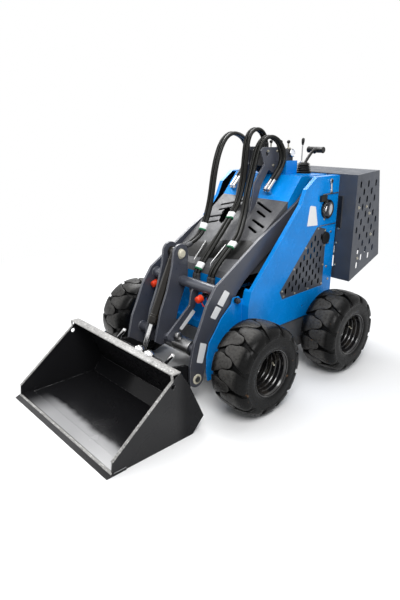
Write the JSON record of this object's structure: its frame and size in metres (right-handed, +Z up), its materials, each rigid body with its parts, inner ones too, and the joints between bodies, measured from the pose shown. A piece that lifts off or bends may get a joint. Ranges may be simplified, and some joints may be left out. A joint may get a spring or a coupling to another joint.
{
  "type": "mini skid steer loader",
  "caption": "Compact wheeled skid steer loader with cranked lift arms, tilting bucket, side pods, perforated rear guard and a top joystick.",
  "frame": {"origin": "on the floor under the middle of the length and width", "axes": "+X the machine's left side, -Y the way it drives and the bucket points, +Z up"},
  "size_m": [1.147, 1.982, 1.3191],
  "materials": {
    "black_rubber": "matt",
    "black_paint": "semi gloss",
    "blue_paint": "gloss",
    "grey_paint": "semi gloss",
    "bucket_paint": "gloss",
    "steel": "bright",
    "chrome": "polished",
    "black_plastic": "matt",
    "lamp_glass": "gloss",
    "hose_rubber": "matt",
    "cast": "rough",
    "red_rubber": "satin"
  },
  "bodies": {
    "chassis": {"console": "blue_paint", "cowl": "blue_paint", "cowl_fittings": "chrome", "engine": "cast", "engine_shelf": "grey_paint", "front_panel": "blue_paint", "guard_strip": "steel", "hood": "grey_paint", "hoses_aux": "hose_rubber", "hoses_lift": "hose_rubber", "hoses_tilt": "hose_rubber", "joystick_boot": "black_plastic", "lever": "black_paint", "lift_base_pins": "steel", "lift_pins": "steel", "main_frame": "grey_paint", "mast": "grey_paint", "rear_guard": "grey_paint", "rear_wall": "blue_paint", "side_fittings": "black_plastic", "side_grille_left": "grey_paint", "side_grille_right": "grey_paint", "side_lamp": "lamp_glass", "side_latch": "chrome", "side_panel_left": "blue_paint", "side_panel_right": "blue_paint", "t_handle": "black_plastic", "valve_block": "grey_paint", "valve_knobs": "black_plastic", "wheel_motors": "cast"},
    "wheel_front_left": {"tyre_front_left": "black_rubber", "rim_front_left": "black_paint"},
    "wheel_front_right": {"tyre_front_right": "black_rubber", "rim_front_right": "black_paint"},
    "wheel_rear_left": {"tyre_rear_left": "black_rubber", "rim_rear_left": "black_paint"},
    "wheel_rear_right": {"tyre_rear_right": "black_rubber", "rim_rear_right": "black_paint"},
    "arms": {"arm_left": "grey_paint", "arm_right": "grey_paint", "cross_tubes": "grey_paint", "inner_plates": "grey_paint", "port_blocks": "grey_paint", "quick_couplers": "steel", "coupler_caps": "red_rubber", "strut": "grey_paint"},
    "bucket": {"bucket_shell": "bucket_paint", "bucket_sides": "bucket_paint", "cutting_edge": "steel", "coupler": "grey_paint", "bucket_pins": "steel"},
    "tilt_barrel": {"tilt_barrel": "black_paint"},
    "tilt_rod": {"tilt_rod": "chrome"},
    "lift_barrel_left": {"lift_barrel_left": "black_paint"},
    "lift_barrel_right": {"lift_barrel_right": "black_paint"},
    "lift_rod_left": {"lift_rod_left": "chrome"},
    "lift_rod_right": {"lift_rod_right": "chrome"}
  },
  "joints": [
    {"name": "spin_front_left", "type": "hinge", "parent": "chassis", "child": "wheel_front_left", "pos_m": [0.4655, -0.1565, 0.2285], "axis": [1, 0, 0], "continuous": true},
    {"name": "spin_front_right", "type": "hinge", "parent": "chassis", "child": "wheel_front_right", "pos_m": [-0.4655, -0.1565, 0.2285], "axis": [1, 0, 0], "continuous": true},
    {"name": "spin_rear_left", "type": "hinge", "parent": "chassis", "child": "wheel_rear_left", "pos_m": [0.4655, 0.5385, 0.2285], "axis": [1, 0, 0], "continuous": true},
    {"name": "spin_rear_right", "type": "hinge", "parent": "chassis", "child": "wheel_rear_right", "pos_m": [-0.4655, 0.5385, 0.2285], "axis": [1, 0, 0], "continuous": true},
    {"name": "lift", "type": "hinge", "parent": "chassis", "child": "arms", "pos_m": [0, 0.521, 1.01], "axis": [-1, 0, 0], "range_deg": [0, 75], "deforming": ["hoses_tilt", "hoses_aux", "hoses_lift"]},
    {"name": "bucket_tilt", "type": "hinge", "parent": "arms", "child": "bucket", "pos_m": [0, -0.354, 0.15], "axis": [1, 0, 0], "range_deg": [-30, 80]},
    {"name": "tilt_barrel_swing", "type": "hinge", "parent": "arms", "child": "tilt_barrel", "pos_m": [-0.075, -0.203, 0.704], "axis": [1, 0, 0], "range_deg": [-1.7, 3.7]},
    {"name": "tilt_rod_slide", "type": "slide", "parent": "tilt_barrel", "child": "tilt_rod", "axis": [0, -0.4152, -0.9097], "range_m": [-0.0427, 0.1104]},
    {"name": "lift_barrel_swing_left", "type": "hinge", "parent": "chassis", "child": "lift_barrel_left", "pos_m": [0.289, 0.62, 0.56], "axis": [1, 0, 0], "range_deg": [-0.5, 11.01]},
    {"name": "lift_rod_slide_left", "type": "slide", "parent": "lift_barrel_left", "child": "lift_rod_left", "axis": [0, -0.3135, 0.9496], "range_m": [-0.001, 0.1494]},
    {"name": "lift_barrel_swing_right", "type": "hinge", "parent": "chassis", "child": "lift_barrel_right", "pos_m": [-0.289, 0.62, 0.56], "axis": [1, 0, 0], "range_deg": [-0.5, 11.01]},
    {"name": "lift_rod_slide_right", "type": "slide", "parent": "lift_barrel_right", "child": "lift_rod_right", "axis": [0, -0.3135, 0.9496], "range_m": [-0.001, 0.1494]}
  ],
  "couplings": [
    {"joint": "tilt_barrel_swing", "follows": "bucket_tilt", "ratio": 0.04},
    {"joint": "tilt_rod_slide", "follows": "bucket_tilt", "m_per_rad": 0.07766},
    {"joint": "lift_barrel_swing_left", "follows": "lift", "ratio": 0.14019},
    {"joint": "lift_rod_slide_left", "follows": "lift", "m_per_rad": 0.11258},
    {"joint": "lift_barrel_swing_right", "follows": "lift", "ratio": 0.14019},
    {"joint": "lift_rod_slide_right", "follows": "lift", "m_per_rad": 0.11258}
  ]
}
